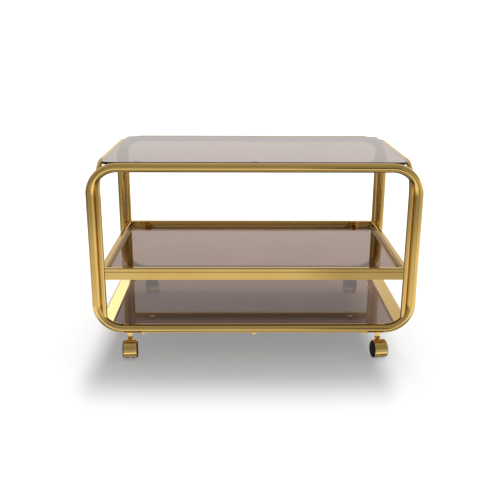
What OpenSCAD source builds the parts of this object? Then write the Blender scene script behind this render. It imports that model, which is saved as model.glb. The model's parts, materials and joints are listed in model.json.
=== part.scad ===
// Three-shelf bar cart: two upright tube loops joined by slim side hoops,
// with smoked glass shelves on four hooded twin-wheel casters.
// Origin: floor level, at the middle of the overall footprint, which runs from the
// wheels that trail out at the front to the back of the frame. The front faces -Y.

/* [Frame] */
// Width over the two end uprights
cart_w = 750; // [740:1:770]
// Depth over the front and back loops
cart_d = 446; // [440:1:470]
// Height of the top of the frame above the floor
cart_h = 457.5; // [452:0.5:470]
// Height of the underside of the loops above the floor
loop_z0 = 56; // [54:0.5:58]
// Diameter of the loop tube
tube_d = 21; // [20:0.5:22]
// Wall thickness of the loop tube
tube_wall = 1.5; // [1.2:0.1:2]
// Outer radius of the loop corners
loop_r = 71; // [68:1:74]

/* [Side hoops] */
// Diameter of the side hoop tube
hoop_d = 12; // [11:0.5:12.5]
// Wall thickness of the side hoop tube
hoop_wall = 1.2; // [1:0.1:1.5]
// Outer radius of the hoop bends
hoop_r = 71; // [68:1:74]

/* [Rails] */
// Thickness of the middle rails
rail_t = 12; // [11:0.5:12]
// Height of the middle rails
mid_h = 27.5; // [27:0.5:30]
// Height of the top of the middle rails above the floor
mid_z1 = 216; // [212:1:222]
// Thickness of the bottom side rails
low_t = 4.5; // [4:0.5:4.5]
// Width of the face of the bottom side rails
low_h = 28; // [26:0.5:29]
// Height of the lower inner edge of the bottom side rails above the floor
low_z0 = 69; // [68:0.5:70]
// Lean of the bottom side rails from upright, so that the face looks in and up
low_lean = 37; // [34:1:40]
// Wall thickness of the hollow lower part of each middle rail
rail_wall = 1.5; // [1.2:0.1:2]
// Height of the bead along the top of each middle rail
bead_h = 9; // [8:0.5:10]
// Depth of the groove under the bead
groove_d = 1.2; // [0.8:0.1:1.5]
// How far the front and back middle rails sit inside the loop faces
mid_inset = 6; // [5:0.5:8]

/* [Shelves] */
// Thickness of the glass
glass_t = 6; // [5:0.5:6]
// Gap between the glass and the frame around it
glass_gap = 1; // [0.8:0.1:1.5]
// Corner radius of the glass
glass_r = 19; // [16:1:22]
// Height of the top surface of the middle glass
mid_glass_z = 202; // [200:0.5:203]
// Height of the top surface of the bottom glass
low_glass_z = 62.5; // [62:0.5:63]

/* [Casters] */
// Distance of each caster stem from the middle of the cart
stem_x = 291; // [285:1:295]
// Wheel diameter
wheel_d = 40; // [39:0.5:40]
// Width over both wheels of one caster
caster_w = 34; // [33:0.5:35]
// Horizontal distance from the swivel axis to the axle
trail = 14; // [13:0.5:15]
// Swivel of the front left caster, degrees; at 0 the wheels trail towards +Y
turn_front_left = 185; // [-360:1:360]
// Swivel of the front right caster, degrees
turn_front_right = 188; // [-360:1:360]
// Swivel of the back left caster, degrees
turn_back_left = 195; // [-360:1:360]
// Swivel of the back right caster, degrees
turn_back_right = 160; // [-360:1:360]

/* [Hidden] */
tube_r = tube_d / 2;
hoop_tr = hoop_d / 2;
loop_x = cart_w / 2 - tube_r;
loop_y = cart_d / 2 - tube_r;
loop_zt = cart_h - tube_r;
loop_zb = loop_z0 + tube_r;
loop_cr = loop_r - tube_r;
frame_y = 13;
hoop_x = loop_x - tube_r - hoop_tr - 0.3;
hoop_zt = cart_h - hoop_tr;
hoop_cr = hoop_r - hoop_tr;
hoop_bot = loop_zb + 20;
rail_x = hoop_x;
in_x = hoop_x - rail_t / 2;
low_x0 = in_x - 5;
low_half = loop_y - tube_r - 0.3;
big = 2000;
glass_half_w = in_x - glass_gap;
top_in_y = loop_y - tube_r;
mid_in_y = cart_d / 2 - mid_inset - rail_t;
tab_x = [-262, 0, 262];
mid_tab_x = [-290, 290];
tab_t = 3;
foot_in = 3;
foot_r = 5;
foot_lap = 2;
pad_t = 1.5;
pad_r = 7;
pad_in = 14;
top_tab_z = cart_h - glass_t - pad_t;
mid_tab_z = mid_glass_z - glass_t - pad_t;
low_tab_z = low_glass_z - glass_t - pad_t;
axle_z = wheel_d / 2;
wheel_r = wheel_d / 2;
hood_ri = wheel_r + 0.8;
hood_ro = hood_ri + 1.7;
hood_w = 29.6;
hood_round = 1.6;
web_t = 4;
stem_r = 4.5;
axle_r = 2.5;
hub_gap = 0.4;
wheel_t = (caster_w - web_t) / 2 - hub_gap;
tread_w = 6.5;
shoulder_r = wheel_r - 0.7;
cap_t = 1.2;
cap_r = 7;
cap_gap = 0.4;
hood_z0 = 9.5;
boss_top = 45;
boss_r = 7;
boss_z0 = 30;
socket_r = 6.5;
socket_top = 72;
collar_r = 8;
stem_top = 70.5;
stem_foot = 39.6;
run_fit = 0.05;
ring_z = 63;
ring_h = 1.6;
ring_ri = 3.4;
$fn = 64;

function turn_of(k) = k == 0 ? turn_front_left :
  k == 1 ? turn_front_right :
  k == 2 ? turn_back_left :
  turn_back_right;
function stem_px(k) = (k == 0 || k == 2) ? -stem_x : stem_x;
function stem_py(k) = k < 2 ? -loop_y : loop_y;

// Outline of a loop in its own plane, rounded at all four corners.
module round_rect(w, h, r) {
  difference() {
    square([w, h], center = true);
    for (sx = [-1, 1])
      for (sy = [-1, 1])
        translate([sx * w / 2, sy * h / 2])
          rotate([0, 0, sx > 0 ? (sy > 0 ? 180 : 90) : (sy > 0 ? 270 : 0)])
            corner_cut(r);
  }
}

// Quarter spandrel with its corner at the origin, open towards +X +Y.
module corner_cut(r) {
  difference() {
    translate([-1, -1])
      square([r + 1, r + 1]);
    translate([r, r])
      circle(r = r, $fn = 96);
  }
}

// Quarter bend of a tube in the XZ plane, its centre at the origin.
// It runs from +X round to +Z.
module bend_xz(cr, r) {
  rotate([90, 0, 0])
    rotate_extrude(angle = 90, $fn = 96)
      translate([cr, 0])
        circle(r = r, $fn = 64);
}

// Solid rod along a closed rounded rectangle in the XZ plane at y = 0.
module loop_rod(r) {
  sx = loop_x - loop_cr;
  top = loop_zt - loop_cr;
  bot = loop_zb + loop_cr;
  for (z = [loop_zb, loop_zt])
    translate([-sx, 0, z])
      rotate([0, 90, 0])
        cylinder(r = r, h = 2 * sx);
  for (x = [-loop_x, loop_x])
    translate([x, 0, bot])
      cylinder(r = r, h = top - bot);
  translate([sx, 0, top])
    bend_xz(loop_cr, r);
  translate([-sx, 0, top])
    mirror([1, 0, 0])
      bend_xz(loop_cr, r);
  translate([sx, 0, bot])
    mirror([0, 0, 1])
      bend_xz(loop_cr, r);
  translate([-sx, 0, bot])
    mirror([0, 0, 1])
      mirror([1, 0, 0])
        bend_xz(loop_cr, r);
}

// Hollow loop with two holes in its underside for the caster sockets.
module loop(y) {
  translate([0, y, 0])
    difference() {
      loop_rod(tube_r);
      loop_rod(tube_r - tube_wall);
      for (x = [-stem_x, stem_x])
        translate([x, 0, loop_z0 - 1])
          cylinder(r = socket_r, h = tube_r);
    }
}

// Quarter bend of a tube in the YZ plane, from +Y round to +Z.
module bend_yz(cr, r) {
  rotate([0, 0, 90])
    bend_xz(cr, r);
}

// Solid rod along an inverted U in the YZ plane.
module hoop_rod(r, extra) {
  sy = loop_y - hoop_cr;
  top = hoop_zt - hoop_cr;
  translate([0, -sy, hoop_zt])
    rotate([-90, 0, 0])
      cylinder(r = r, h = 2 * sy);
  for (y = [-loop_y, loop_y])
    translate([0, y, hoop_bot - extra])
      cylinder(r = r, h = top - hoop_bot + extra);
  translate([0, sy, top])
    bend_yz(hoop_cr, r);
  translate([0, -sy, top])
    mirror([0, 1, 0])
      bend_yz(hoop_cr, r);
}

// Slim hoop, coped where it meets the loop corners.
module hoop(side) {
  difference() {
    translate([side * hoop_x, 0, 0])
      difference() {
        hoop_rod(hoop_tr, 0);
        hoop_rod(hoop_tr - hoop_wall, 1);
      }
    for (y = [-loop_y, loop_y])
      translate([0, y, 0])
        loop_rod(tube_r);
  }
}

// Section of a rail: a rounded bead, a groove below it and a flat face.
// The outer face is towards +X, and the top is at y = 0.
module rail_section(t, h) {
  difference() {
    translate([0, -h])
      square([t, h]);
    translate([0, -bead_h])
      circle(r = groove_d, $fn = 32);
    translate([t, -bead_h])
      circle(r = groove_d, $fn = 32);
    rail_round(2.5);
    translate([t, 0])
      mirror([1, 0])
        rail_round(2.5);
    translate([rail_wall, -h + rail_wall])
      square([t - 2 * rail_wall, h - bead_h - rail_wall - 2.5]);
  }
}

// Rounds the corner at the origin of a square that lies to +X -Y.
module rail_round(r) {
  difference() {
    translate([-1, -r])
      square([r + 1, r + 1]);
    translate([r, -r])
      circle(r = r, $fn = 32);
  }
}

// Rail along X with its faces towards +Y and -Y, top at z1.
module rail_along_x(y0, t, h, z1, half) {
  translate([-half, y0, z1])
    rotate([90, 0, 90])
      linear_extrude(height = 2 * half)
        rail_section(t, h);
}

// Rail along Y with its faces towards +X and -X, top at z1.
module rail_along_y(x0, t, h, z1, half) {
  translate([x0, half, z1])
    rotate([90, 0, 0])
      linear_extrude(height = 2 * half)
        rail_section(t, h);
}

// Glass plate with rounded corners and its top at z.
module plate(w, d, z) {
  translate([0, 0, z - glass_t])
    linear_extrude(height = glass_t)
      round_rect(w, d, glass_r);
}

// Places its children on the cart, from frame coordinates.
module on_cart() {
  translate([0, frame_y, 0])
    children();
}

// Places its children on caster k, in coordinates that swivel with it.
module on_caster(k) {
  on_cart()
    translate([stem_px(k), stem_py(k), 0])
      rotate([0, 0, turn_of(k)])
        children();
}

module brass() {
  color([0.86, 0.68, 0.36])
    children();
}

module smoked_glass() {
  color([0.45, 0.39, 0.36, 0.6])
    children();
}

module front_loop() {
  brass() on_cart() loop(-loop_y);
}

module back_loop() {
  brass() on_cart() loop(loop_y);
}

module left_hoop() {
  brass() on_cart() hoop(-1);
}

module right_hoop() {
  brass() on_cart() hoop(1);
}

// Middle rail between the hoop legs, on one side of the shelf.
module mid_cross_rail(side) {
  y0 = side > 0 ? cart_d / 2 - mid_inset - rail_t : -cart_d / 2 + mid_inset;
  rail_along_x(y0, rail_t, mid_h, mid_z1, in_x);
}

module mid_front_rail() {
  brass() on_cart() mid_cross_rail(-1);
}

module mid_back_rail() {
  brass() on_cart() mid_cross_rail(1);
}

// What a side rail is coped against at its ends: the loops and the hoop legs.
module side_uprights(side) {
  for (y = [-loop_y, loop_y]) {
    translate([0, y, 0])
      loop_rod(tube_r);
    translate([side * hoop_x, y, hoop_bot])
      cylinder(r = hoop_tr, h = 200);
  }
}

// Middle side rail, upright and in line with the hoop legs.
module mid_side_rail(side) {
  difference() {
    rail_along_y(side * rail_x - rail_t / 2, rail_t, mid_h, mid_z1, loop_y);
    side_uprights(side);
  }
}

// Bottom side rail: a flat bar between the corner bends of the loops, leaning out over the edge of the glass.
module bottom_side_rail(side) {
  mirror([side < 0 ? 1 : 0, 0, 0])
    translate([low_x0, -low_half, low_z0])
      rotate([0, low_lean, 0])
        cube([low_t, 2 * low_half, low_h]);
}

module mid_left_rail() {
  brass() on_cart() mid_side_rail(-1);
}

module mid_right_rail() {
  brass() on_cart() mid_side_rail(1);
}

module bottom_left_rail() {
  brass() on_cart() bottom_side_rail(-1);
}

module bottom_right_rail() {
  brass() on_cart() bottom_side_rail(1);
}

module top_glass() {
  smoked_glass() on_cart()
    plate(2 * glass_half_w, 2 * (top_in_y - glass_gap), cart_h);
}

module middle_glass() {
  smoked_glass() on_cart()
    plate(2 * glass_half_w, 2 * (mid_in_y - glass_gap), mid_glass_z);
}

module bottom_glass() {
  smoked_glass() on_cart()
    plate(2 * glass_half_w, 2 * (top_in_y - glass_gap), low_glass_z);
}

// Flat tab that runs in from y_out, under the pad at y_pad.
module cross_tab(x, y_out, y_pad, z_top) {
  lo = min(y_out, y_pad);
  hi = max(y_out, y_pad);
  translate([x - pad_r - 1, lo, z_top - tab_t])
    cube([2 * pad_r + 2, hi - lo, tab_t]);
  translate([x, y_pad, z_top - tab_t])
    cylinder(r = pad_r + 1, h = tab_t);
}

// Six tabs brazed inside the top tubes.
module top_tabs() {
  brass() on_cart()
    for (side = [-1, 1])
      for (x = tab_x)
        difference() {
          cross_tab(x, side * loop_y, side * (top_in_y - pad_in), top_tab_z);
          translate([0, side * loop_y, 0])
            loop_rod(tube_r);
        }
}

// Four tabs brazed inside the middle rails, near their ends.
module middle_tabs() {
  brass() on_cart()
    for (side = [-1, 1])
      for (x = mid_tab_x)
        cross_tab(x, side * mid_in_y, side * (mid_in_y - pad_in), mid_tab_z);
}

// Six tabs under the bottom tubes. Each has a round foot coped to the tube's underside.
module bottom_tabs() {
  brass() on_cart()
    for (side = [-1, 1])
      for (x = tab_x)
        difference() {
          union() {
            cross_tab(x, side * (loop_y - foot_in - foot_r + foot_lap), side * (top_in_y - pad_in), low_tab_z);
            translate([x, side * (loop_y - foot_in), low_tab_z - tab_t])
              cylinder(r = foot_r, h = tube_r);
          }
          translate([0, side * loop_y, 0])
            loop_rod(tube_r);
        }
}

// Soft discs that lie on the tabs, under the glass.
module pads(xs, y_pad, z_top) {
  color([0.9, 0.9, 0.88, 0.8]) on_cart()
    for (side = [-1, 1])
      for (x = xs)
        translate([x, side * y_pad, z_top])
          cylinder(r = pad_r, h = pad_t);
}

module top_pads() {
  pads(tab_x, top_in_y - pad_in, top_tab_z);
}

module middle_pads() {
  pads(mid_tab_x, mid_in_y - pad_in, mid_tab_z);
}

module bottom_pads() {
  pads(tab_x, top_in_y - pad_in, low_tab_z);
}

// Blind socket set into the underside of the loop, with a collar coped to the tube.
module caster_socket(k) {
  brass() on_cart()
    translate([stem_px(k), stem_py(k), 0])
      difference() {
        union() {
          translate([0, 0, loop_z0 - 2])
            cylinder(r = socket_r, h = socket_top - loop_z0 + 2);
          difference() {
            translate([0, 0, loop_z0 - 2])
              cylinder(r = collar_r, h = 5);
            translate([-20, 0, loop_zb])
              rotate([0, 90, 0])
                cylinder(r = tube_r, h = 40);
          }
        }
        translate([0, 0, 0])
          cylinder(r = stem_r + run_fit, h = stem_top + 0.1);
      }
}

// Stem that turns in the socket, with a groove for its grip ring.
module caster_stem(k) {
  brass() on_caster(k)
    difference() {
      translate([0, 0, stem_foot])
        cylinder(r = stem_r, h = stem_top - stem_foot);
      translate([0, 0, ring_z])
        difference() {
          cylinder(r = stem_r + 1, h = ring_h);
          translate([0, 0, -1])
            cylinder(r = ring_ri, h = ring_h + 2);
        }
    }
}

// Split ring in the stem's groove.
module caster_ring(k) {
  color([0.5, 0.5, 0.5]) on_caster(k)
    translate([0, 0, ring_z])
      difference() {
        cylinder(r = stem_r, h = ring_h);
        translate([0, 0, -1])
          cylinder(r = ring_ri, h = ring_h + 2);
        translate([0, -0.6, -1])
          cube([10, 1.2, ring_h + 2]);
      }
}

// Cylinder along X about the axle, from x0 to x1.
module about_axle(r, x0, x1) {
  translate([x0, trail, axle_z])
    rotate([0, 90, 0])
      cylinder(r = r, h = x1 - x0);
}

// Barrel of the hood: a cylinder about the axle whose outer edges are rounded.
module hood_barrel() {
  translate([-hood_w / 2, trail, axle_z])
    rotate([0, 90, 0])
      rotate_extrude($fn = 96)
        difference() {
          square([hood_ro, hood_w]);
          translate([hood_ro, 0])
            mirror([1, 0])
              corner_cut(hood_round);
          translate([hood_ro, hood_w])
            rotate([0, 0, 180])
              corner_cut(hood_round);
        }
}

// Hood: a barrel open below, with a web between the wheels and a boss for the stem.
module caster_hood(k) {
  brass() on_caster(k)
    difference() {
      union() {
        difference() {
          hood_barrel();
          about_axle(hood_ri, -hood_w / 2 - 1, -web_t / 2);
          about_axle(hood_ri, web_t / 2, hood_w / 2 + 1);
          translate([-50, -50, -50])
            cube([100, 150, 50 + hood_z0]);
        }
        difference() {
          translate([0, 0, boss_z0])
            cylinder(r = boss_r, h = boss_top - boss_z0);
          about_axle(hood_ri, -50, 50);
        }
      }
      translate([0, 0, stem_foot])
        cylinder(r = stem_r, h = 20);
      about_axle(axle_r, -50, 50);
    }
}

// Axle held in the hood's web; the wheels turn on its ends.
module caster_axle(k) {
  color([0.6, 0.6, 0.6]) on_caster(k)
    about_axle(axle_r, -caster_w / 2 + cap_t, caster_w / 2 - cap_t);
}

// One wheel: a tread next to the web and a slightly smaller drum outside it.
module caster_wheel(k, side) {
  a = web_t / 2 + hub_gap;
  b = caster_w / 2;
  color([0.08, 0.06, 0.06]) on_caster(k)
    difference() {
      translate([0, trail, axle_z])
        rotate([0, side * 90, 0])
          rotate_extrude($fn = 96)
            difference() {
              polygon([
                [axle_r + run_fit, a], [wheel_r - 0.6, a], [wheel_r, a + 0.6],
                [wheel_r, a + tread_w], [shoulder_r, a + tread_w + 0.7],
                [shoulder_r, b - 1.2], [shoulder_r - 1.2, b],
                [axle_r + run_fit, b]
              ]);
              translate([0, b - cap_t - cap_gap])
                square([cap_r + cap_gap, cap_t + 2]);
            }
    }
}

// Pair of caps pressed on the ends of the axle; they keep the wheels on.
module caster_caps(k) {
  color([0.1, 0.08, 0.08]) on_caster(k)
    for (side = [-1, 1])
      translate([0, trail, axle_z])
        rotate([0, side * 90, 0])
          translate([0, 0, caster_w / 2 - cap_t])
            cylinder(r = cap_r, h = cap_t);
}

module front_left_socket() {
  caster_socket(0);
}

module front_left_stem() {
  caster_stem(0);
}

module front_left_grip_ring() {
  caster_ring(0);
}

module front_left_hood() {
  caster_hood(0);
}

module front_left_axle() {
  caster_axle(0);
}

module front_left_left_wheel() {
  caster_wheel(0, 1);
}

module front_left_right_wheel() {
  caster_wheel(0, -1);
}

module front_left_hub_caps() {
  caster_caps(0);
}

module front_right_socket() {
  caster_socket(1);
}

module front_right_stem() {
  caster_stem(1);
}

module front_right_grip_ring() {
  caster_ring(1);
}

module front_right_hood() {
  caster_hood(1);
}

module front_right_axle() {
  caster_axle(1);
}

module front_right_left_wheel() {
  caster_wheel(1, 1);
}

module front_right_right_wheel() {
  caster_wheel(1, -1);
}

module front_right_hub_caps() {
  caster_caps(1);
}

module back_left_socket() {
  caster_socket(2);
}

module back_left_stem() {
  caster_stem(2);
}

module back_left_grip_ring() {
  caster_ring(2);
}

module back_left_hood() {
  caster_hood(2);
}

module back_left_axle() {
  caster_axle(2);
}

module back_left_left_wheel() {
  caster_wheel(2, 1);
}

module back_left_right_wheel() {
  caster_wheel(2, -1);
}

module back_left_hub_caps() {
  caster_caps(2);
}

module back_right_socket() {
  caster_socket(3);
}

module back_right_stem() {
  caster_stem(3);
}

module back_right_grip_ring() {
  caster_ring(3);
}

module back_right_hood() {
  caster_hood(3);
}

module back_right_axle() {
  caster_axle(3);
}

module back_right_left_wheel() {
  caster_wheel(3, 1);
}

module back_right_right_wheel() {
  caster_wheel(3, -1);
}

module back_right_hub_caps() {
  caster_caps(3);
}

front_loop();
back_loop();
left_hoop();
right_hoop();
mid_front_rail();
mid_back_rail();
mid_left_rail();
mid_right_rail();
bottom_left_rail();
bottom_right_rail();
top_glass();
middle_glass();
bottom_glass();
top_tabs();
middle_tabs();
bottom_tabs();
top_pads();
middle_pads();
bottom_pads();
front_left_socket();
front_left_stem();
front_left_grip_ring();
front_left_hood();
front_left_axle();
front_left_left_wheel();
front_left_right_wheel();
front_left_hub_caps();
front_right_socket();
front_right_stem();
front_right_grip_ring();
front_right_hood();
front_right_axle();
front_right_left_wheel();
front_right_right_wheel();
front_right_hub_caps();
back_left_socket();
back_left_stem();
back_left_grip_ring();
back_left_hood();
back_left_axle();
back_left_left_wheel();
back_left_right_wheel();
back_left_hub_caps();
back_right_socket();
back_right_stem();
back_right_grip_ring();
back_right_hood();
back_right_axle();
back_right_left_wheel();
back_right_right_wheel();
back_right_hub_caps();
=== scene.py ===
"""Bar cart on wheels: looks, stage and camera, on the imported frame."""

import json
import math

import bpy
from mathutils import Matrix, Vector


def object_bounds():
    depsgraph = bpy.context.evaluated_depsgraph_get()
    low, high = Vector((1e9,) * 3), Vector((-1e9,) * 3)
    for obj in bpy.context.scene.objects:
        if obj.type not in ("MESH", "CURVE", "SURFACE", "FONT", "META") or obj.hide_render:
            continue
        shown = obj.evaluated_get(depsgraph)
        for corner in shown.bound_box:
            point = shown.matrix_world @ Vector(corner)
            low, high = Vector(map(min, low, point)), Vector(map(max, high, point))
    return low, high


# Camera, solved for this view of the cart: turn to the side, tilt down and roll in degrees,
# place and reach in metres, lens and sensor in millimetres.
CAMERA_YAW = -0.791
CAMERA_PITCH = 17.034
CAMERA_ROLL = 0.249
CAMERA_PLACE = (-0.0322, -1.764, 0.738)
CAMERA_LENS = 51.9192
CAMERA_SENSOR = 36.0
CAMERA_REACH = 60.0

# Studio floor that curves up into a backdrop behind the cart, in metres.
FLOOR_FRONT = -14.0
FLOOR_BACK = 3.2
FLOOR_HALF_WIDTH = 20.0
BACKDROP_RADIUS = 1.2
BACKDROP_TOP = 4.5
BACKDROP_STEPS = 16
FLOOR_GREY = 0.45

# Painted pool of shade on the floor, from emission turned down around the cart: where its middle is, how far
# it reaches past half the size of the cart, and how much faster it fades to the sides than to the front and
# back.
PAINTED_SHADOW_MIDDLE = (-0.038, 0.0)
PAINTED_SHADOW_PAST_CART = (-0.080, 0.0522)
PAINTED_SHADOW_RATE = (2.4, 1.0)
# Floor emission against distance from the cart: the first ramp fades out the painted shadow, the second adds
# emission far off.
PAINTED_SHADOW_NEAR = dict(low=0.27, high=0.66, start=0.0, end=0.19)
PAINTED_SHADOW_FAR = dict(low=0.0, high=0.30, start=0.4, end=2.5)

# What the polished parts see: strength against height angle (0 straight down, 1 straight up)
# in front of and behind the cart, and against compass angle (0 and 1 behind, 0.5 in front).
FRONT = [
    (0.0, 0.60), (0.10, 0.55), (0.18, 0.42), (0.21, 0.10), (0.26, 0.10), (0.29, 1.05), (0.36, 1.15),
    (0.40, 0.76), (0.43, 0.40), (0.50, 0.42), (0.60, 0.32), (0.78, 0.34), (1.0, 0.44),
]
BACK = [
    (0.0, 0.60), (0.25, 0.45), (0.36, 0.80), (0.40, 0.95), (0.43, 0.45), (0.47, 0.55), (0.51, 1.05),
    (0.53, 1.05), (0.56, 0.98), (0.59, 0.78), (0.62, 0.60), (0.68, 0.62), (0.74, 0.66), (0.80, 0.50),
    (1.0, 0.44),
]
AROUND = [
    (0.0, 0.95), (0.035, 0.95), (0.10, 0.45), (0.30, 0.40), (0.34, 1.0), (0.40, 1.1), (0.42, 0.20),
    (0.445, 1.15), (0.51, 1.20), (0.525, 0.35), (0.545, 0.40), (0.56, 1.45), (0.68, 1.75), (0.78, 1.6),
    (0.93, 1.7), (0.965, 0.95), (1.0, 0.95),
]
# The change from front to back, and the height (as the direction's z) over which AROUND fades out.
FRONT_TO_BACK = (-0.25, 0.25)
AROUND_FADE = (0.18, 0.42)
# Strength of the even light that matt surfaces get.
FILL = 0.40

# Softbox, in metres and watts.
LAMP_PLACE = (0.1, 0.7, 2.6)
LAMP_AIM = (0.0, -0.1, 0.0)
LAMP_SIZE = (2.2, 1.8)
LAMP_WATTS = 62.0

WHITE = (1.0, 1.0, 1.0, 1.0)

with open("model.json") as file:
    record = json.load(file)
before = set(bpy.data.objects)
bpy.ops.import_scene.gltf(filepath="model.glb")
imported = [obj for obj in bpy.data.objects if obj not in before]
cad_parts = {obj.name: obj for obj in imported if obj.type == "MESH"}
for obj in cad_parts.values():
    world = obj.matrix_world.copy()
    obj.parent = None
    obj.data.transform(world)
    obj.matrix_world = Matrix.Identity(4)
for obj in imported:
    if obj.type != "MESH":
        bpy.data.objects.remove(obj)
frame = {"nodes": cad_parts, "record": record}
cad_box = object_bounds()
nodes = frame["nodes"]
scene = bpy.context.scene
scene.view_settings.view_transform = "Standard"
scene.view_settings.look = "None"


# ---------------------------------------------------------------- shader helpers
def feed(tree, socket, value):
    """Link value to the socket if it is another node's output, else set it there."""
    if isinstance(value, bpy.types.NodeSocket):
        tree.links.new(value, socket)
    else:
        socket.default_value = value


def new_material(name):
    material = bpy.data.materials.new(name)
    material.use_nodes = True
    tree = material.node_tree
    tree.nodes.clear()
    out = tree.nodes.new("ShaderNodeOutputMaterial")
    shader = tree.nodes.new("ShaderNodeBsdfPrincipled")
    tree.links.new(shader.outputs["BSDF"], out.inputs["Surface"])
    return material, tree, shader


def noise(tree, scale, detail, stretch=(1, 1, 1)):
    coord = tree.nodes.new("ShaderNodeTexCoord")
    mapping = tree.nodes.new("ShaderNodeMapping")
    mapping.inputs["Scale"].default_value = stretch
    texture = tree.nodes.new("ShaderNodeTexNoise")
    texture.inputs["Scale"].default_value = scale
    texture.inputs["Detail"].default_value = detail
    tree.links.new(coord.outputs["Object"], mapping.inputs["Vector"])
    tree.links.new(mapping.outputs["Vector"], texture.inputs["Vector"])
    return texture.outputs["Fac"]


def spread(tree, value, low, high, start=0.35, end=0.65):
    """Runs from low to high as value runs from start to end, and stops there."""
    node = tree.nodes.new("ShaderNodeMapRange")
    node.inputs["From Min"].default_value = start
    node.inputs["From Max"].default_value = end
    node.inputs["To Min"].default_value = low
    node.inputs["To Max"].default_value = high
    tree.links.new(value, node.inputs["Value"])
    return node.outputs["Result"]


def mix(tree, factor, one, two, blend="MIX"):
    """Mix of two colours, each given as RGBA or as another node's output."""
    node = tree.nodes.new("ShaderNodeMix")
    node.data_type = "RGBA"
    node.blend_type = blend
    feed(tree, node.inputs["Factor"], factor)
    feed(tree, node.inputs["A"], one)
    feed(tree, node.inputs["B"], two)
    return node.outputs["Result"]


def math_node(tree, operation, *values):
    node = tree.nodes.new("ShaderNodeMath")
    node.operation = operation
    for socket, value in zip(node.inputs, values):
        feed(tree, socket, value)
    return node.outputs["Value"]


def curve_of(tree, value, stops):
    """Smooth grey curve through (position, strength) stops; positions run from 0 to 1."""
    ramp = tree.nodes.new("ShaderNodeValToRGB")
    ramp.color_ramp.interpolation = "EASE"
    for position, _ in stops[2:]:
        ramp.color_ramp.elements.new(position)
    for element, (position, _) in zip(ramp.color_ramp.elements, stops):
        element.position = position
    for element, (_, strength) in zip(ramp.color_ramp.elements, stops):
        element.color = (strength, strength, strength, 1)
    tree.links.new(value, ramp.inputs["Fac"])
    return ramp.outputs["Color"]


# ---------------------------------------------------------------- materials
def vary_color(tree, shader, pattern, one, two):
    color = mix(tree, spread(tree, pattern, 0.0, 1.0), (*one, 1), (*two, 1))
    tree.links.new(color, shader.inputs["Base Color"])


def vary_roughness(tree, shader, pattern, low, high):
    tree.links.new(spread(tree, pattern, low, high), shader.inputs["Roughness"])


def bump(tree, shader, height, strength, distance):
    node = tree.nodes.new("ShaderNodeBump")
    node.inputs["Strength"].default_value = strength
    node.inputs["Distance"].default_value = distance
    tree.links.new(height, node.inputs["Height"])
    tree.links.new(node.outputs["Normal"], shader.inputs["Normal"])


def brass():
    material, tree, shader = new_material("polished_brass")
    shader.inputs["Metallic"].default_value = 1.0
    vary_color(tree, shader, noise(tree, 9.0, 5.0), (0.77, 0.525, 0.175), (0.73, 0.485, 0.148))
    vary_roughness(tree, shader, noise(tree, 60.0, 6.0), 0.02, 0.05)
    bump(tree, shader, noise(tree, 120.0, 2.0), 0.12, 0.00006)
    return material


def smoked_glass():
    material, tree, shader = new_material("smoked_glass")
    shader.inputs["Transmission Weight"].default_value = 1.0
    shader.inputs["IOR"].default_value = 1.5
    vary_color(tree, shader, noise(tree, 6.0, 4.0), (0.25, 0.163, 0.126), (0.228, 0.149, 0.113))
    vary_roughness(tree, shader, noise(tree, 14.0, 5.0), 0.0, 0.012)
    return material


def clear_rubber():
    material, tree, shader = new_material("clear_rubber")
    shader.inputs["Transmission Weight"].default_value = 0.85
    shader.inputs["IOR"].default_value = 1.45
    vary_color(tree, shader, noise(tree, 80.0, 3.0), (0.86, 0.86, 0.84), (0.80, 0.80, 0.78))
    vary_roughness(tree, shader, noise(tree, 200.0, 3.0), 0.15, 0.3)
    return material


def black_plastic():
    material, tree, shader = new_material("black_plastic")
    shader.inputs["Specular IOR Level"].default_value = 0.02
    vary_color(tree, shader, noise(tree, 40.0, 5.0), (0.006, 0.004, 0.005), (0.011, 0.008, 0.009))
    vary_roughness(tree, shader, noise(tree, 120.0, 4.0), 0.45, 0.60)
    bump(tree, shader, noise(tree, 700.0, 3.0), 0.15, 0.0001)
    return material


def spring_steel():
    material, tree, shader = new_material("spring_steel")
    shader.inputs["Metallic"].default_value = 1.0
    vary_color(tree, shader, noise(tree, 90.0, 4.0), (0.56, 0.56, 0.57), (0.48, 0.48, 0.49))
    vary_roughness(tree, shader, noise(tree, 300.0, 4.0, (1, 8, 8)), 0.2, 0.35)
    return material


def dress():
    """Give every piece the material that its slot in the record asks for."""
    materials = {
        "brass": brass(),
        "smoked_glass": smoked_glass(),
        "clear_rubber": clear_rubber(),
        "black_plastic": black_plastic(),
        "spring_steel": spring_steel(),
    }
    for entry in frame["record"]["subparts"]:
        piece = nodes[entry["node"]]
        piece.data.materials.clear()
        piece.data.materials.append(materials[entry["material_slot"]])


# ---------------------------------------------------------------- camera
def look_camera():
    yaw, pitch, roll = (math.radians(angle) for angle in (CAMERA_YAW, CAMERA_PITCH, CAMERA_ROLL))
    level = Vector((-math.sin(yaw), math.cos(yaw), 0.0))
    forward = math.cos(pitch) * level - math.sin(pitch) * Vector((0.0, 0.0, 1.0))
    right = Vector((math.cos(yaw), math.sin(yaw), 0.0))
    up = right.cross(forward)
    rolled_right = math.cos(roll) * right + math.sin(roll) * up
    rolled_up = math.cos(roll) * up - math.sin(roll) * right
    data = bpy.data.cameras.new("camera")
    data.sensor_width = CAMERA_SENSOR
    data.lens = CAMERA_LENS
    data.clip_end = CAMERA_REACH
    camera = bpy.data.objects.new("camera", data)
    turn = Matrix((rolled_right, rolled_up, -forward)).transposed().to_4x4()
    camera.matrix_world = Matrix.Translation(CAMERA_PLACE) @ turn
    scene.collection.objects.link(camera)
    scene.camera = camera


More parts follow.
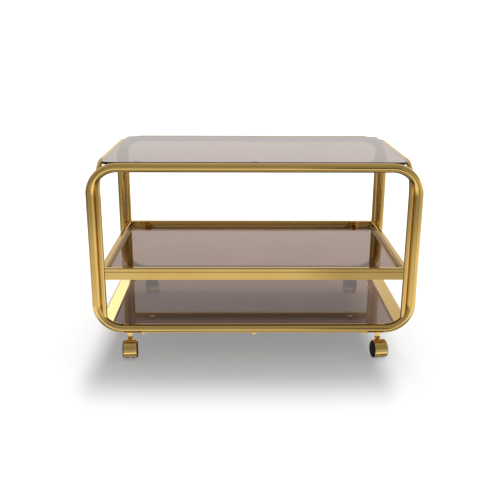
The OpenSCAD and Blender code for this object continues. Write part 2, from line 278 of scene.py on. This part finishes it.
# ---------------------------------------------------------------- stage
def painted_floor_shadow(tree):
    """Painted shadow: emission that the floor and backdrop give, little under the cart, more with distance
    from it.
    """
    geometry = tree.nodes.new("ShaderNodeNewGeometry")
    split = tree.nodes.new("ShaderNodeSeparateXYZ")
    tree.links.new(geometry.outputs["Position"], split.inputs["Vector"])
    cart_half = [(high - low) / 2 for low, high in zip(*cad_box)]
    squares = []
    for axis, middle, half, past, rate in zip("XY", PAINTED_SHADOW_MIDDLE, cart_half, PAINTED_SHADOW_PAST_CART, PAINTED_SHADOW_RATE):
        aside = math_node(tree, "ABSOLUTE", math_node(tree, "SUBTRACT", split.outputs[axis], middle))
        beyond = math_node(tree, "MULTIPLY", math_node(tree, "SUBTRACT", aside, half + past), rate)
        squares.append(math_node(tree, "POWER", math_node(tree, "MAXIMUM", beyond, 0.0), 2.0))
    distance = math_node(tree, "SQRT", math_node(tree, "ADD", *squares))
    near = spread(tree, distance, **PAINTED_SHADOW_NEAR)
    near.node.interpolation_type = "SMOOTHSTEP"
    return math_node(tree, "ADD", near, spread(tree, distance, **PAINTED_SHADOW_FAR))


def floor_mesh():
    """Flat floor, a quarter-round bend and an upright backdrop, as one strip of quads."""
    profile = [(FLOOR_FRONT, 0.0), (FLOOR_BACK, 0.0)]
    for step in range(1, BACKDROP_STEPS + 1):
        angle = step / BACKDROP_STEPS * math.pi / 2
        rise = BACKDROP_RADIUS - BACKDROP_RADIUS * math.cos(angle)
        profile.append((FLOOR_BACK + BACKDROP_RADIUS * math.sin(angle), rise))
    profile.append((FLOOR_BACK + BACKDROP_RADIUS, BACKDROP_TOP))
    verts = [(x, y, z) for y, z in profile for x in (-FLOOR_HALF_WIDTH, FLOOR_HALF_WIDTH)]
    faces = [(i, i + 1, i + 3, i + 2) for i in range(0, len(verts) - 2, 2)]
    mesh = bpy.data.meshes.new("studio_floor")
    mesh.from_pydata(verts, [], faces)
    mesh.polygons.foreach_set("use_smooth", [True] * len(mesh.polygons))
    return mesh


def stage():
    """The floor and backdrop, whose emission is lower around the cart as a painted shadow. Polished parts
    don't see them: their reflections come from the world alone.
    """
    obj = bpy.data.objects.new("studio_floor", floor_mesh())
    scene.collection.objects.link(obj)
    material, tree, shader = new_material("studio_floor")
    shader.inputs["Base Color"].default_value = (FLOOR_GREY, FLOOR_GREY, FLOOR_GREY, 1)
    shader.inputs["Roughness"].default_value = 0.9
    shader.inputs["Specular IOR Level"].default_value = 0.0
    shader.inputs["Emission Color"].default_value = WHITE
    # Floor emission that paints the cart's shadow on the floor: dim under the cart, bright away from it.
    tree.links.new(painted_floor_shadow(tree), shader.inputs["Emission Strength"])
    obj.data.materials.append(material)
    obj.visible_glossy = False


def surroundings(tree):
    """Grey level of the world by direction, from the FRONT, BACK and AROUND curves."""
    coord = tree.nodes.new("ShaderNodeTexCoord")
    split = tree.nodes.new("ShaderNodeSeparateXYZ")
    tree.links.new(coord.outputs["Generated"], split.inputs["Vector"])
    x, y, z = (split.outputs[axis] for axis in "XYZ")
    height = math_node(tree, "DIVIDE", math_node(tree, "ARCSINE", z), math.pi)
    height = math_node(tree, "ADD", height, 0.5)
    compass = math_node(tree, "ARCTAN2", x, math_node(tree, "MULTIPLY", y, -1.0))
    compass = math_node(tree, "ADD", math_node(tree, "DIVIDE", compass, 2 * math.pi), 0.5)
    behind = spread(tree, y, 0.0, 1.0, *FRONT_TO_BACK)
    by_height = mix(tree, behind, curve_of(tree, height, FRONT), curve_of(tree, height, BACK))
    level = spread(tree, math_node(tree, "ABSOLUTE", z), 1.0, 0.0, *AROUND_FADE)
    by_compass = mix(tree, level, WHITE, curve_of(tree, compass, AROUND))
    return mix(tree, 1.0, by_height, by_compass, "MULTIPLY")


def sky():
    """World: the surroundings as polished parts and glass see them, and even fill light for matt surfaces."""
    world = bpy.data.worlds.new("studio")
    scene.world = world
    world.use_nodes = True
    tree = world.node_tree
    tree.nodes.clear()
    seen = tree.nodes.new("ShaderNodeBackground")
    tree.links.new(surroundings(tree), seen.inputs["Color"])
    fill = tree.nodes.new("ShaderNodeBackground")
    fill.inputs["Strength"].default_value = FILL
    path = tree.nodes.new("ShaderNodeLightPath")
    choice = tree.nodes.new("ShaderNodeMixShader")
    tree.links.new(path.outputs["Is Diffuse Ray"], choice.inputs["Fac"])
    tree.links.new(seen.outputs["Background"], choice.inputs[1])
    tree.links.new(fill.outputs["Background"], choice.inputs[2])
    out = tree.nodes.new("ShaderNodeOutputWorld")
    tree.links.new(choice.outputs["Shader"], out.inputs["Surface"])


def overhead_lamp():
    """Softbox above and behind the cart for its soft shadow, unseen in reflections and glass."""
    data = bpy.data.lights.new("overhead", "AREA")
    data.shape = "RECTANGLE"
    data.size, data.size_y = LAMP_SIZE
    data.energy = LAMP_WATTS
    obj = bpy.data.objects.new("overhead", data)
    obj.location = LAMP_PLACE
    aim = Vector(LAMP_AIM) - Vector(LAMP_PLACE)
    obj.rotation_euler = aim.to_track_quat("-Z", "Y").to_euler()
    obj.visible_glossy = False
    obj.visible_transmission = False
    scene.collection.objects.link(obj)


look_camera()
dress()
stage()
sky()
overhead_lamp()
